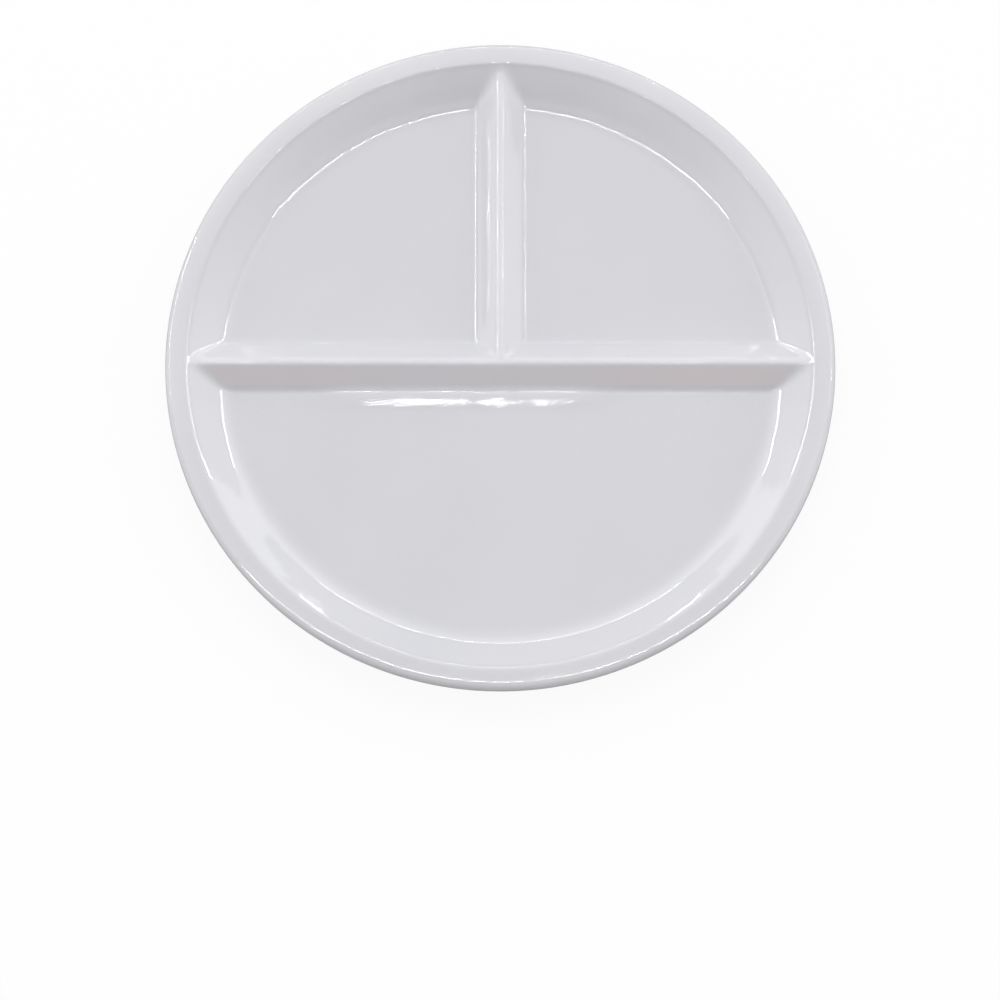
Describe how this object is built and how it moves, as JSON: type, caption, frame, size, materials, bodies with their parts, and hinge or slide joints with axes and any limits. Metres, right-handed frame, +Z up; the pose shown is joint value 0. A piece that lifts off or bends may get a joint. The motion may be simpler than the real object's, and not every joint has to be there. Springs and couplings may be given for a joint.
{
  "type": "divided compartment plate",
  "caption": "Round glazed ceramic plate with raised dividers that part it into one half and two quarter compartments, on a ring foot.",
  "frame": {"origin": "centre of the plate on the plane that its foot stands on", "axes": "+Z up out of the compartments, X along the cross divider, +Y along the stem divider, with the large compartment towards -Y"},
  "size_m": [0.254, 0.254, 0.0198],
  "materials": {
    "bare_clay": "fired white body, unglazed and slightly rough on the standing face",
    "white_glaze": "clear gloss over a cool white body, with faint waves in its surface"
  },
  "bodies": {
    "root": {"plate_body": "bare_clay", "glaze": "white_glaze"}
  },
  "joints": []
}
